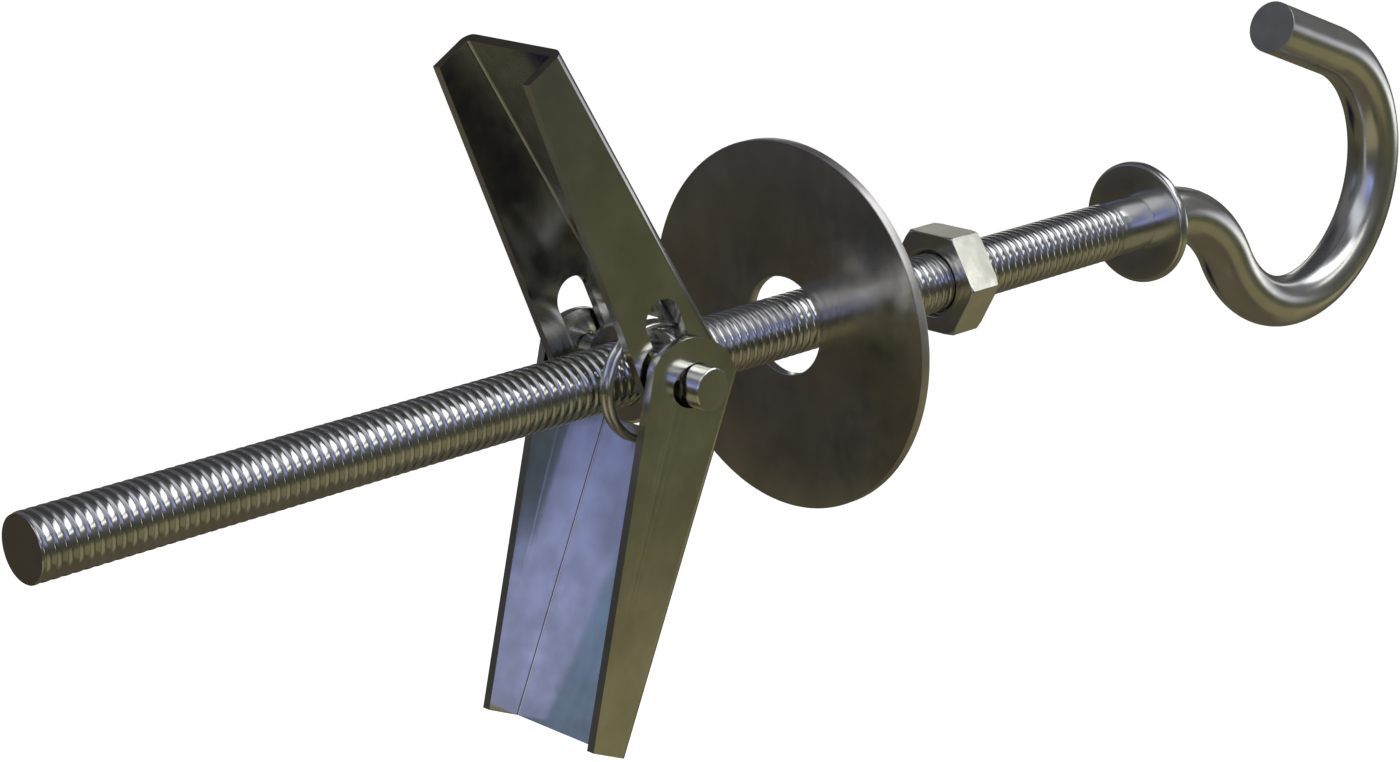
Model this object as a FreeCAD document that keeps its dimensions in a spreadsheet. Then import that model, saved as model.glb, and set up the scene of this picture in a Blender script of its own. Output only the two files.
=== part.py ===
import FreeCAD, Part
import math
import os
import Sketcher

# A swag hook that hangs from a hollow wall or ceiling. The rod lies along X with the hook at +X,
# Z points up, and the origin is where the rod's axis meets the face of the washer that bears on
# the wall. Lengths are in millimetres and angles in degrees.
SIZES = {
    # Rod and hook, bent from one wire
    "thread_diameter": 6.0,
    "wire_diameter": 5.8,
    "rod_reach": 84.05,
    "rod_end_chamfer": 0.12,
    "thread_end": 48.2,
    "thread_runout": 0.6,
    "hook_start": 57.0,
    "dip_radius": 13.15,
    "dip_angle": 61.4,
    "bowl_radius": 14.35,
    "bowl_angle": 77.7,
    "flank_radius": 15.0,
    "flank_angle": 36.2,
    "crown_radius": 14.2,
    "crown_angle": 106.3,
    "tip_length": 11.7,
    "tip_chamfer": 0.12,
    # Disc pressed on the shank behind the hook
    "collar_face": 52.55,
    "collar_thickness": 1.2,
    "collar_diameter": 13.0,
    "collar_edge": 0.25,
    # Washer that spreads the load on the wall
    "washer_diameter": 36.0,
    "washer_hole": 9.6,
    "washer_thickness": 1.0,
    "washer_edge": 0.12,
    # Hexagon nut
    "nut_face": 20.6,
    "nut_flats": 10.0,
    "nut_thickness": 4.0,
    "nut_corner_circle": 10.7,
    "nut_corner_angle": 30.0,
    "nut_mouth_diameter": 7.0,
    "thread_clearance": 0.05,
    # Trunnion nut: a barrel on the rod with a pin on each side
    "pivot_reach": 18.8,
    "barrel_diameter": 9.5,
    "barrel_length": 4.2,
    "barrel_chamfer": 0.3,
    "barrel_back_diameter": 7.0,
    "barrel_taper": 2.4,
    "pin_diameter": 4.0,
    "pin_stand_out": 2.5,
    "pin_chamfer": 0.12,
    # Wings, folded from sheet
    "sheet": 0.9,
    "wing_length": 34.4,
    "inner_width": 12.85,
    "nest_gap": 0.43,
    "tip_depth": 4.65,
    "upper_web": 5.25,
    "upper_depth": 9.9,
    "upper_lean_angle": 30.65,
    "lower_web": 5.25,
    "lower_depth": 10.8,
    "lower_lean_angle": 24.7,
    "ear_radius": 6.2,
    "ear_drop": 1.9,
    "ear_shift": 0.1,
    "fold_past_pivot": 2.3,
    "ear_corner": 2.2,
    "fold_radius": 1.1,
    "upper_web_start": 2.45,
    "lower_web_start": 5.05,
    "pin_clearance": 0.07,
    "slot_travel": 6.75,
    "slot_lean_angle": 8.0,
    # Torsion spring round the near pin
    "spring_wire": 0.75,
    "coil_radius": 5.35,
    "coil_shift": 2.35,
    "coil_lift": 0.2,
    "coil_pitch": 0.755,
    "coil_turns": 2,
    "coil_gap": 0.05,
    "leg_length": 11.0,
}

# Sides of the nut, and of the many-sided outline that the thin spring wire is drawn with
NUT_SIDES = 6
WIRE_SIDES = 10
# A cut this many times as long as its piece passes right through it from its middle plane
THROUGH = 3
# Two places or sizes nearer than this are the same
SAME = 1e-3

document = FreeCAD.newDocument("SwagHook")
sheet = document.addObject("Spreadsheet::Sheet", "Sizes")
for row, (alias, number) in enumerate(SIZES.items(), start=1):
    sheet.set(f"A{row}", alias)
    sheet.set(f"B{row}", str(number))
    sheet.setAlias(f"B{row}", alias)
document.recompute()


class Size:
    """A number as the sheet gives it now, with the expression that binds a property to it."""

    def __init__(self, value, text):
        self.value = value
        self.text = text

    def __add__(self, other):
        other = plain(other)
        return Size(self.value + other.value, f"({self.text} + {other.text})")

    def __sub__(self, other):
        other = plain(other)
        return Size(self.value - other.value, f"({self.text} - {other.text})")

    def __mul__(self, other):
        other = plain(other)
        return Size(self.value * other.value, f"({self.text} * {other.text})")

    def __truediv__(self, other):
        other = plain(other)
        return Size(self.value / other.value, f"({self.text} / {other.text})")

    def __neg__(self):
        return Size(-self.value, f"(0 - {self.text})")


def plain(number):
    return number if isinstance(number, Size) else Size(float(number), repr(float(number)))


def cell(alias):
    return Size(float(sheet.get(alias)), f"Sizes.{alias}")


def sine(angle):
    return Size(math.sin(math.radians(angle.value)), f"sin({angle.text} * 1 deg)")


def cosine(angle):
    return Size(math.cos(math.radians(angle.value)), f"cos({angle.text} * 1 deg)")


def tangent(angle):
    return sine(angle) / cosine(angle)


def new_body(name):
    body = document.addObject("PartDesign::Body", name)
    body.Label = name
    return body


def new_sketch(body, name, plane, offset=None):
    """A sketch on one of the body's own origin planes, lifted along the plane's normal."""
    sketch = body.newObject("Sketcher::SketchObject", name)
    base = next(f for f in body.Origin.OriginFeatures if f.Role == plane)
    sketch.AttachmentSupport = [(base, "")]
    sketch.MapMode = "FlatFace"
    if offset is not None:
        sketch.AttachmentOffset = FreeCAD.Placement(FreeCAD.Vector(0, 0, offset.value), FreeCAD.Rotation())
        sketch.setExpression("AttachmentOffset.Base.z", offset.text)
    return sketch


def bind(sketch, kind, *arguments):
    """Add one dimension whose last argument is a Size, and tie it to the sheet."""
    size = plain(arguments[-1])
    index = sketch.addConstraint(Sketcher.Constraint(kind, *arguments[:-1], size.value))
    sketch.setExpression(f"Constraints[{index}]", size.text)


def place(sketch, geometry, vertex, across, up):
    """Tie one vertex of a sketch to its two coordinates."""
    bind(sketch, "DistanceX", -1, 1, geometry, vertex, across)
    bind(sketch, "DistanceY", -1, 1, geometry, vertex, up)


def vector(across, up):
    return FreeCAD.Vector(plain(across).value, plain(up).value, 0)


def polygon(sketch, corners):
    """A closed outline of straight lines through the corners."""
    count = len(corners)
    lines = []
    for number in range(count):
        start = vector(*corners[number])
        end = vector(*corners[(number + 1) % count])
        lines.append(sketch.addGeometry(Part.LineSegment(start, end), False))
    for number, line in enumerate(lines):
        following = lines[(number + 1) % count]
        sketch.addConstraint(Sketcher.Constraint("Coincident", line, 2, following, 1))
    for line, corner in zip(lines, corners):
        place(sketch, line, 1, *corner)


def circle(sketch, across, up, diameter):
    shape = Part.Circle(vector(across, up), FreeCAD.Vector(0, 0, 1), diameter.value / 2)
    index = sketch.addGeometry(shape, False)
    place(sketch, index, 3, across, up)
    bind(sketch, "Diameter", index, diameter)


def pad(body, name, sketch, length, side="One side"):
    feature = body.newObject("PartDesign::Pad", name)
    feature.Profile = sketch
    feature.SideType = side
    feature.Length = length.value
    feature.setExpression("Length", length.text)
    return feature


def pocket(body, name, sketch, length):
    """A cut to both sides of the sketch's plane."""
    feature = body.newObject("PartDesign::Pocket", name)
    feature.Profile = sketch
    feature.SideType = "Symmetric"
    feature.Length = length.value
    feature.setExpression("Length", length.text)
    return feature


def turn(body, name, sketch, kind="PartDesign::Revolution"):
    """Revolve a sketch, drawn on the XZ plane, about the rod's axis."""
    feature = body.newObject(kind, name)
    feature.Profile = sketch
    feature.ReferenceAxis = (sketch, ["H_Axis"])
    feature.Angle = 360
    return feature


def dress(body, name, kind, base, chosen, size):
    """Fillet or chamfer the edges of a feature that the test picks."""
    document.recompute()
    names = [f"Edge{i}" for i, edge in enumerate(base.Shape.Edges, start=1) if chosen(edge)]
    feature = body.newObject(kind, name)
    feature.Base = (base, names)
    parameter = "Radius" if kind == "PartDesign::Fillet" else "Size"
    setattr(feature, parameter, size.value)
    feature.setExpression(parameter, size.text)
    return feature


def stand_at(body, across):
    """Set a body's own origin on the rod's axis."""
    body.Placement.Base = FreeCAD.Vector(across.value, 0, 0)
    body.setExpression("Placement.Base.x", across.text)


def is_round(edge, radius):
    return isinstance(edge.Curve, Part.Circle) and abs(edge.Curve.Radius - radius) < SAME


wire_radius = cell("wire_diameter") / 2
thread_radius = cell("thread_diameter") / 2
tapped_radius = thread_radius + cell("thread_clearance")


def hook_turns():
    """Follow the hook's centreline: each stretch as start, end, radius and side, then the tip."""
    bends = [("dip", -1), ("bowl", 1), ("flank", 1), ("crown", 1)]
    point = (cell("hook_start"), plain(0))
    heading = plain(0)
    stretches = []
    for bend, side in bends:
        radius = cell(f"{bend}_radius")
        reached = heading + cell(f"{bend}_angle") * side
        middle = (heading + reached) / 2
        chord_end = arc_point(point, heading, reached, radius, side)
        chord_middle = arc_point(point, heading, middle, radius, side)
        stretches.append((point, chord_middle, chord_end, radius, side))
        point = chord_end
        heading = reached
    tip = (point[0] + cell("tip_length") * cosine(heading), point[1] + cell("tip_length") * sine(heading))
    return stretches, tip


def arc_point(start, heading, reached, radius, side):
    across = start[0] + (sine(reached) - sine(heading)) * radius * side
    up = start[1] + (cosine(heading) - cosine(reached)) * radius * side
    return across, up


def hook_rod():
    """Threaded rod, bare shank and round hook, all one wire."""
    body = new_body("hook_rod")
    shank = new_sketch(body, "shank_outline", "XZ_Plane")
    reach = cell("rod_reach")
    chamfer = cell("rod_end_chamfer")
    polygon(shank, [
        (-reach, 0),
        (-reach, thread_radius - chamfer),
        (chamfer - reach, thread_radius),
        (cell("thread_end"), thread_radius),
        (cell("thread_end") + cell("thread_runout"), wire_radius),
        (cell("hook_start"), wire_radius),
        (cell("hook_start"), 0),
    ])
    turn(body, "shank", shank)

    spine = new_sketch(body, "hook_line", "XZ_Plane")
    stretches, tip = hook_turns()
    last = None
    for start, middle, end, radius, side in stretches:
        arc = spine.addGeometry(Part.Arc(vector(*start), vector(*middle), vector(*end)), False)
        entry, leaving = (1, 2) if side > 0 else (2, 1)
        if last is None:
            place(spine, arc, entry, *start)
        else:
            spine.addConstraint(Sketcher.Constraint("Coincident", last[0], last[1], arc, entry))
        place(spine, arc, leaving, *end)
        bind(spine, "Radius", arc, radius)
        last = (arc, leaving)
    straight = spine.addGeometry(Part.LineSegment(vector(*stretches[-1][2]), vector(*tip)), False)
    spine.addConstraint(Sketcher.Constraint("Coincident", last[0], last[1], straight, 1))
    place(spine, straight, 2, *tip)

    section = new_sketch(body, "hook_section", "YZ_Plane", cell("hook_start"))
    circle(section, 0, 0, cell("wire_diameter"))
    bend = body.newObject("PartDesign::AdditivePipe", "hook")
    bend.Profile = section
    bend.Spine = (spine, [f"Edge{number}" for number in range(1, len(stretches) + 2)])
    tip_centre = FreeCAD.Vector(tip[0].value, 0, tip[1].value)
    dress(body, "tip_edge", "PartDesign::Chamfer", bend,
          lambda edge: edge.isClosed() and edge.CenterOfMass.distanceToPoint(tip_centre) < SAME,
          cell("tip_chamfer"))
    return body


def stop_collar():
    """Thin disc pressed on the shank, the edges of its rim broken."""
    body = new_body("stop_collar")
    stand_at(body, cell("collar_face"))
    outline = new_sketch(body, "collar_outline", "XZ_Plane")
    rim = cell("collar_diameter") / 2
    polygon(outline, [
        (0, wire_radius),
        (0, rim),
        (cell("collar_thickness"), rim),
        (cell("collar_thickness"), wire_radius),
    ])
    disc = turn(body, "disc", outline)
    dress(body, "rim", "PartDesign::Chamfer", disc,
          lambda edge: is_round(edge, rim.value), cell("collar_edge"))
    return body


def wall_washer():
    """Wide flat washer, its edges broken, with a hole that passes the rod loosely."""
    body = new_body("wall_washer")
    outline = new_sketch(body, "washer_outline", "XZ_Plane")
    rim = cell("washer_diameter") / 2
    hole = cell("washer_hole") / 2
    polygon(outline, [
        (0, hole),
        (0, rim),
        (cell("washer_thickness"), rim),
        (cell("washer_thickness"), hole),
    ])
    disc = turn(body, "disc", outline)
    dress(body, "edges", "PartDesign::Chamfer", disc,
          lambda edge: is_round(edge, rim.value) or is_round(edge, hole.value), cell("washer_edge"))
    return body


def hex_nut():
    """Hexagon nut with its corners and its threaded mouth turned back on both faces."""
    body = new_body("hex_nut")
    stand_at(body, cell("nut_face"))
    thickness = cell("nut_thickness")
    hexagon = new_sketch(body, "hexagon", "YZ_Plane")
    corner = cell("nut_flats") / 2 / cosine(plain(180 / NUT_SIDES))
    directions = [plain(360 / NUT_SIDES * number) for number in range(NUT_SIDES)]
    polygon(hexagon, [(corner * cosine(way), corner * sine(way)) for way in directions])
    pad(body, "prism", hexagon, thickness)

    bore = new_sketch(body, "bore_circle", "YZ_Plane")
    circle(bore, 0, 0, tapped_radius * 2)
    pocket(body, "bore", bore, thickness * THROUGH)

    turned = cell("nut_corner_circle") / 2
    clear = cell("nut_flats")
    fall = (clear - turned) * tangent(cell("nut_corner_angle"))
    mouth = cell("nut_mouth_diameter") / 2
    depth = mouth - tapped_radius
    for face, outwards, side in (("front", plain(0), 1), ("back", thickness, -1)):
        corner_cut = new_sketch(body, f"{face}_corners", "XZ_Plane")
        polygon(corner_cut, [(outwards, turned), (outwards, clear), (outwards + fall * side, clear)])
        turn(body, f"{face}_corner_cut", corner_cut, "PartDesign::Groove")
        mouth_cut = new_sketch(body, f"{face}_mouth", "XZ_Plane")
        polygon(mouth_cut, [
            (outwards, 0),
            (outwards, mouth),
            (outwards + depth * side, tapped_radius),
            (outwards + depth * side, 0),
        ])
        turn(body, f"{face}_mouth_cut", mouth_cut, "PartDesign::Groove")
    return body


def trunnion_nut():
    """Barrel threaded on the rod and tapered at its back, with the two pins that carry the wings."""
    body = new_body("trunnion_nut")
    stand_at(body, -cell("pivot_reach"))
    half = cell("barrel_length") / 2
    radius = cell("barrel_diameter") / 2
    chamfer = cell("barrel_chamfer")
    outline = new_sketch(body, "barrel_outline", "XZ_Plane")
    polygon(outline, [
        (-half, 0),
        (-half, radius - chamfer),
        (chamfer - half, radius),
        (half - cell("barrel_taper"), radius),
        (half, cell("barrel_back_diameter") / 2),
        (half, 0),
    ])
    turn(body, "barrel", outline)
    pin = new_sketch(body, "pin_circle", "XZ_Plane")
    circle(pin, 0, 0, cell("pin_diameter"))
    length = outer_width() + cell("pin_stand_out") * 2
    pins = pad(body, "pins", pin, length, "Symmetric")
    pin_radius = cell("pin_diameter").value / 2
    dress(body, "pin_ends", "PartDesign::Chamfer", pins,
          lambda edge: is_round(edge, pin_radius) and abs(abs(edge.CenterOfMass.y) - length.value / 2) < SAME,
          cell("pin_chamfer"))
    bore = new_sketch(body, "bore_circle", "YZ_Plane")
    circle(bore, 0, 0, tapped_radius * 2)
    pocket(body, "bore", bore, cell("barrel_length") * THROUGH)
    return body


def outer_width():
    """Overall width of the lower wing, whose ears stand outside those of the upper one."""
    return cell("inner_width") + (cell("sheet") + cell("nest_gap")) * 2


def wing(name, side, width, slotted):
    """A wing folded from sheet, drawn with its pivot at the origin and its web towards +X.

    side is 1 for a wing that stands up and -1 for one that hangs down. The ears run past the pivot
    in a round end. The web stops short of the pivot so that the barrel fits between the ears, while
    the edges of the fold run on past it.
    """
    body = new_body(f"{name}_wing")
    web = cell(f"{name}_web")
    length = cell("wing_length") * side
    thickness = cell("sheet")
    hinge_edge = web - cell(f"{name}_depth")
    beyond = cell("wing_length") * THROUGH

    outline = new_sketch(body, f"{name}_side", "XZ_Plane")
    tip_edge = (web - cell("tip_depth"), length)
    tip_web = (web, length)
    centre = (-cell("ear_shift"), cell("ear_drop") * side)
    radius = cell("ear_radius")
    fold_end = cell("fold_past_pivot") * -side
    ear_width = math.sqrt(radius.value ** 2 - (centre[1] - fold_end).value ** 2)
    ear_start = FreeCAD.Vector(centre[0].value + ear_width, fold_end.value, 0)
    slope = (tip_edge[0] - hinge_edge).value / length.value
    free_corner = line_meets_circle(hinge_edge.value, slope, centre, radius.value, side)
    far_end = FreeCAD.Vector(centre[0].value, centre[1].value - side * radius.value, 0)
    web_corner = vector(web, fold_end)
    tip = outline.addGeometry(Part.LineSegment(vector(*tip_edge), vector(*tip_web)), False)
    back = outline.addGeometry(Part.LineSegment(vector(*tip_web), web_corner), False)
    step = outline.addGeometry(Part.LineSegment(web_corner, ear_start), False)
    end = outline.addGeometry(Part.Arc(ear_start, far_end, free_corner), False)
    free = outline.addGeometry(Part.LineSegment(free_corner, vector(*tip_edge)), False)
    first, last = (2, 1) if side > 0 else (1, 2)
    outline.addConstraint(Sketcher.Constraint("Coincident", tip, 2, back, 1))
    outline.addConstraint(Sketcher.Constraint("Coincident", back, 2, step, 1))
    outline.addConstraint(Sketcher.Constraint("Coincident", step, 2, end, first))
    outline.addConstraint(Sketcher.Constraint("Horizontal", step))
    outline.addConstraint(Sketcher.Constraint("Coincident", end, last, free, 1))
    outline.addConstraint(Sketcher.Constraint("Coincident", free, 2, tip, 1))
    place(outline, tip, 1, *tip_edge)
    place(outline, tip, 2, *tip_web)
    place(outline, back, 2, web, fold_end)
    place(outline, end, 3, *centre)
    bind(outline, "Radius", end, radius)
    mark = outline.addGeometry(Part.Point(vector(hinge_edge, 0)), True)
    place(outline, mark, 1, hinge_edge, 0)
    outline.addConstraint(Sketcher.Constraint("PointOnObject", mark, 1, free))
    blank = pad(body, f"{name}_blank", outline, width, "Symmetric")

    corner = dress(body, f"{name}_ear_corner", "PartDesign::Fillet", blank,
                   lambda edge: lies_across(edge) and near(edge, free_corner.x, free_corner.y),
                   cell("ear_corner"))
    dress(body, f"{name}_fold", "PartDesign::Fillet", corner,
          lambda edge: runs_along(edge, web.value), cell("fold_radius"))

    channel = new_sketch(body, f"{name}_channel", "XZ_Plane")
    inner = web - thickness
    polygon(channel, box_outline(inner - beyond, inner, -beyond, beyond))
    hollow = pocket(body, f"{name}_hollow", channel, width - thickness * 2)
    dress(body, f"{name}_inner_fold", "PartDesign::Fillet", hollow,
          lambda edge: runs_along(edge, inner.value), cell("fold_radius") - thickness)

    relief = new_sketch(body, f"{name}_relief", "XZ_Plane")
    polygon(relief, box_outline(plain(0), beyond, -beyond * side, cell(f"{name}_web_start") * side))
    pocket(body, f"{name}_web_relief", relief, width - thickness * 2)

    holes = new_sketch(body, f"{name}_holes", "XZ_Plane")
    hole = cell("pin_diameter") + cell("pin_clearance") * 2
    if slotted:
        slot(holes, cell("slot_travel") * side, cell("slot_lean_angle"), hole)
    else:
        circle(holes, 0, 0, hole)
    pocket(body, f"{name}_pin_holes", holes, width * THROUGH)

    lean = cell(f"{name}_lean_angle")
    body.Placement = FreeCAD.Placement(
        FreeCAD.Vector(-cell("pivot_reach").value, 0, 0),
        FreeCAD.Rotation(FreeCAD.Vector(0, -side, 0), lean.value))
    body.setExpression("Placement.Base.x", (-cell("pivot_reach")).text)
    body.setExpression("Placement.Rotation.Angle", lean.text)
    return body


def line_meets_circle(edge, slope, centre, radius, side):
    """Where the free edge, across = edge + slope * up, runs into the ear's round end."""
    shift = edge - centre[0].value
    a = slope ** 2 + 1
    b = 2 * (slope * shift - centre[1].value)
    c = shift ** 2 + centre[1].value ** 2 - radius ** 2
    up = (-b - side * math.sqrt(b ** 2 - 4 * a * c)) / (2 * a)
    return FreeCAD.Vector(edge + slope * up, up, 0)


def box_outline(left, right, bottom, top):
    return [(left, bottom), (right, bottom), (right, top), (left, top)]


def lies_across(edge):
    box = edge.BoundBox
    return max(box.XLength, box.ZLength) < SAME


def near(edge, across, up):
    middle = edge.CenterOfMass
    return max(abs(middle.x - across), abs(middle.z - up)) < SAME


def runs_along(edge, across):
    """A straight edge of the web, from the pivot towards the tip."""
    box = edge.BoundBox
    return max(box.XLength, box.YLength) < SAME and abs(edge.CenterOfMass.x - across) < SAME


def slot(sketch, travel, lean, width):
    """Obround hole from the pivot, leaning towards the web."""
    across = travel * sine(lean) * (1 if travel.value > 0 else -1)
    up = travel * cosine(lean)
    heading = math.atan2(up.value, across.value)
    radius = width.value / 2
    side = FreeCAD.Vector(-math.sin(heading), math.cos(heading), 0) * radius
    axis = FreeCAD.Vector(0, 0, 1)
    far = vector(across, up)
    near_circle = Part.Circle(FreeCAD.Vector(0, 0, 0), axis, radius)
    far_circle = Part.Circle(far, axis, radius)
    near_end = sketch.addGeometry(
        Part.ArcOfCircle(near_circle, heading + math.pi / 2, heading + 3 * math.pi / 2), False)
    far_end = sketch.addGeometry(
        Part.ArcOfCircle(far_circle, heading - math.pi / 2, heading + math.pi / 2), False)
    left = sketch.addGeometry(Part.LineSegment(far + side, side), False)
    right = sketch.addGeometry(Part.LineSegment(-side, far - side), False)
    sketch.addConstraint(Sketcher.Constraint("Tangent", far_end, 2, left, 1))
    sketch.addConstraint(Sketcher.Constraint("Tangent", left, 2, near_end, 1))
    sketch.addConstraint(Sketcher.Constraint("Tangent", near_end, 2, right, 1))
    sketch.addConstraint(Sketcher.Constraint("Tangent", right, 2, far_end, 1))
    place(sketch, near_end, 3, 0, 0)
    place(sketch, far_end, 3, across, up)
    bind(sketch, "Radius", near_end, width / 2)


def torsion_spring():
    """Wire coil hung round the near pin, with a straight leg along the inside of each web.

    The coil runs clockwise, seen from -Y, from the upper wing's leg to the lower wing's leg.
    """
    wire = cell("spring_wire").value / 2
    radius = cell("coil_radius").value
    pitch = cell("coil_pitch").value
    leg = cell("leg_length").value
    upper = math.radians(cell("upper_lean_angle").value)
    lower = math.radians(cell("lower_lean_angle").value)
    turned = upper + lower + 2 * math.pi * cell("coil_turns").value
    first = -(thread_radius.value + cell("coil_gap").value + wire)
    # Drawn about Z first: a left-hand helix that starts on +X, with a leg along its tangent at each end.
    climb = pitch / (2 * math.pi)
    start = FreeCAD.Vector(radius, 0, 0)
    end = FreeCAD.Vector(radius * math.cos(turned), -radius * math.sin(turned), climb * turned)
    entering = FreeCAD.Vector(0, -radius, climb).normalize()
    leaving = FreeCAD.Vector(-radius * math.sin(turned), -radius * math.cos(turned), climb).normalize()
    helix = Part.makeLongHelix(pitch, climb * turned, radius, 0, True)
    first_leg = Part.LineSegment(start - entering * leg, start).toShape()
    last_leg = Part.LineSegment(end, end + leaving * leg).toShape()
    route = Part.Wire([first_leg] + helix.Edges + [last_leg])
    outwards = FreeCAD.Vector(1, 0, 0)
    sideways = entering.cross(outwards)
    corners = []
    for number in range(WIRE_SIDES + 1):
        around = 2 * math.pi * number / WIRE_SIDES
        rim = outwards * math.cos(around) + sideways * math.sin(around)
        corners.append(start - entering * leg + rim * wire)
    section = Part.makePolygon(corners)
    shape = route.makePipeShell([section], True, False)
    # The coil's axis is laid along -Y, and its start turned up to the angle of the upper leg.
    shape.rotate(FreeCAD.Vector(0, 0, 0), FreeCAD.Vector(1, 0, 0), 90)
    shape.rotate(FreeCAD.Vector(0, 0, 0), FreeCAD.Vector(0, -1, 0), math.degrees(upper))
    spring = document.addObject("Part::Feature", "torsion_spring")
    spring.Label = "torsion_spring"
    spring.Shape = shape
    spring.Placement.Base = FreeCAD.Vector(
        -cell("pivot_reach").value - cell("coil_shift").value, first, cell("coil_lift").value)
    return spring


pieces = [
    hook_rod(),
    stop_collar(),
    wall_washer(),
    hex_nut(),
    trunnion_nut(),
    wing("upper", 1, cell("inner_width"), True),
    wing("lower", -1, outer_width(), False),
    torsion_spring(),
]
document.recompute()

for item in document.Objects:
    if "Invalid" in item.State or "Error" in item.State:
        raise RuntimeError(f"{item.Label} did not compute: {item.State}")
for piece in pieces:
    shape = piece.Shape
    if shape.isNull() or not shape.isValid() or len(shape.Solids) != 1:
        raise RuntimeError(f"{piece.Label} is not one valid solid")

os.makedirs("parts", exist_ok=True)
for piece in pieces:
    piece.Shape.exportStep(f"parts/{piece.Label}.step")
    print(f"{piece.Label}: {piece.Shape.Volume:.1f} cubic millimetres")
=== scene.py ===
import math

import bmesh
import bpy
from mathutils import Matrix, Vector


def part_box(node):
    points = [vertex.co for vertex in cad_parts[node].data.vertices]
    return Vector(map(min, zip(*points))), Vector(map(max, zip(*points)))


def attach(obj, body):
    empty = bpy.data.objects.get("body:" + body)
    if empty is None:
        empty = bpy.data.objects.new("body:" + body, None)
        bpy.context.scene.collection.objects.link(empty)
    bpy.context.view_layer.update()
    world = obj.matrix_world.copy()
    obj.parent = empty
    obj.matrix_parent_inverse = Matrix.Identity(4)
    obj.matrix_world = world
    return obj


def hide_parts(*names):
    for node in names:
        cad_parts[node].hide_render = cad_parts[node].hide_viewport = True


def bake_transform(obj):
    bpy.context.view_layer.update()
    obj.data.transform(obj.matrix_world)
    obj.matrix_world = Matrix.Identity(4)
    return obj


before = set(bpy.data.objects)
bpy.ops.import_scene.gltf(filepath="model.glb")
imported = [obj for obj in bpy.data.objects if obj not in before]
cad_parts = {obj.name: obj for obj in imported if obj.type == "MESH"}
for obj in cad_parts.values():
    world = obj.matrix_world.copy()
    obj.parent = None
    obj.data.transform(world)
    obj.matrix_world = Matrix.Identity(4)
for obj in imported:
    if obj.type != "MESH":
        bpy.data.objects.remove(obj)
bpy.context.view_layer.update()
MM = 0.001


# Threaded rod and hook. One steel wire: a rolled right-hand thread from the free end to just before
# the collar, a short bare shank, and a round hook bent cold, all plated with bright zinc.
THREAD_PITCH = 1.0 * MM
THREAD_DEPTH = 0.2 * MM
THREAD_RUNOUT = 1.1 * MM
THREAD_END = 48.2 * MM
THREAD_RADIUS = 3.0 * MM
END_BREAK = 0.12 * MM
SPARE_TURNS = 2.0
ROUNDING_NUDGE = 0.001

# The thread's form over one pitch, from groove to groove: part of the pitch and part of the depth.
THREAD_PROFILE = [(0.083, 0.43), (0.167, 0.8), (0.25, 0.93), (0.333, 0.98), (0.417, 0.997), (0.5, 1.0),
                  (0.583, 0.997), (0.667, 0.98), (0.75, 0.93), (0.833, 0.8), (0.917, 0.43)]

# The hook's arcs, tangent to each other: centreline radius in mm, angle in degrees, and side.
HOOK_BENDS = [(13.15, 61.4, -1), (14.35, 77.7, 1), (15.0, 36.2, 1), (14.2, 106.3, 1)]
BEND_STEP = 3
WIRE_RADIUS = 2.88 * MM
HOOK_START = 57.0 * MM
TIP_LENGTH = 11.7 * MM
TIP_BREAK = 0.05 * MM
WIRE_SIDES = 48
ROWS_PER_PITCH = 12
SAME_POINT = 0.0005 * MM
THREAD_WELD = 0.002 * MM
ROD_WELD = 0.003 * MM
ROD_SHARP_ABOVE = 85
# Painted shade: the part of its colour that the thread keeps, against the hook's.
THREAD_PAINTED_SHADE = 0.85
HOOK_DULLING = 0.06


def new_tree(name, inputs):
    """A geometry tree with a mesh output and one named input for each size."""
    tree = bpy.data.node_groups.new(name, "GeometryNodeTree")
    tree.interface.new_socket("Mesh", in_out="OUTPUT", socket_type="NodeSocketGeometry")
    for label, value in inputs.items():
        kind = "NodeSocketInt" if isinstance(value, int) else "NodeSocketFloat"
        tree.interface.new_socket(label, in_out="INPUT", socket_type=kind).default_value = value
    return tree, tree.nodes.new("NodeGroupInput").outputs


def feed(tree, socket, value):
    """Give a socket either a plain value or another node's output."""
    if isinstance(value, bpy.types.NodeSocket):
        tree.links.new(value, socket)
    else:
        socket.default_value = value


def math_node(tree, operation, *values):
    """One sum of a tree, from plain values or other nodes' outputs."""
    node = tree.nodes.new("ShaderNodeMath")
    node.operation = operation
    for socket, value in zip(node.inputs, values):
        feed(tree, socket, value)
    return node.outputs[0]


def map_range(tree, value, low, high, to_low, to_high, shape="LINEAR"):
    """Take a value between two limits over to two others, and hold it there beyond them."""
    node = tree.nodes.new("ShaderNodeMapRange")
    node.interpolation_type = shape
    for socket, number in zip(node.inputs, (value, low, high, to_low, to_high)):
        feed(tree, socket, number)
    return node.outputs[0]


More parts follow.
